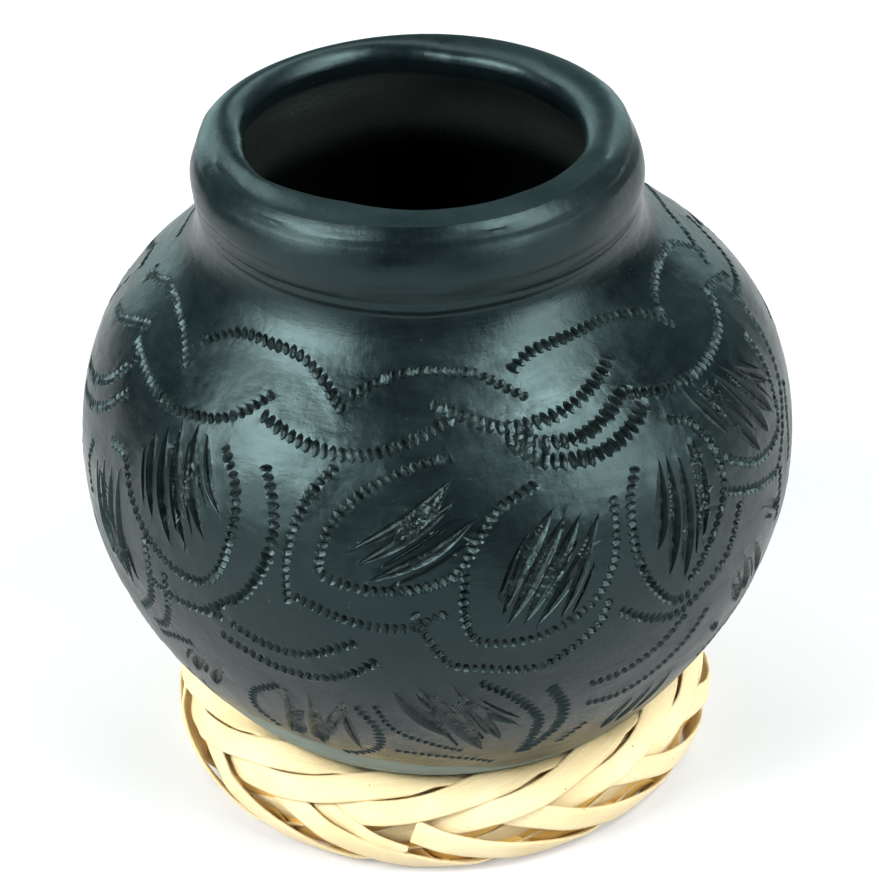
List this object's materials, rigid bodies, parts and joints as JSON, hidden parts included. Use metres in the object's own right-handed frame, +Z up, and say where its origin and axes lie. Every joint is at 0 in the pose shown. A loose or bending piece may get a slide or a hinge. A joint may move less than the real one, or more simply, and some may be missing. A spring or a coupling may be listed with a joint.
{
  "type": "miniature vase with plaited ring stand",
  "caption": "Round burnished black clay pot with a rolled lip and impressed petals, resting in a low ring stand plaited from flat pale reed strips.",
  "frame": {"origin": "on the table, under the middle of the belly", "axes": "+Z up through the belly, -Y towards the front of the picture, +X to its right"},
  "size_m": [0.075, 0.075, 0.0737],
  "materials": {
    "reed": "satin split reed",
    "reed_inside": "dull split reed",
    "black_clay": "burnished, smoke-fired"
  },
  "bodies": {
    "ring": {"ring_strip_1": "reed", "ring_strip_2": "reed", "ring_strip_3": "reed", "ring_strip_4": "reed", "ring_strip_5": "reed", "ring_strip_6": "reed", "ring_strip_7": "reed", "ring_core": "reed_inside"},
    "vase": {"vase": "black_clay"}
  },
  "joints": [
    {"name": "vase_lift", "type": "slide", "parent": "ring", "child": "vase", "axis": [0, 0, 1], "range_m": [0, 0.06]}
  ]
}
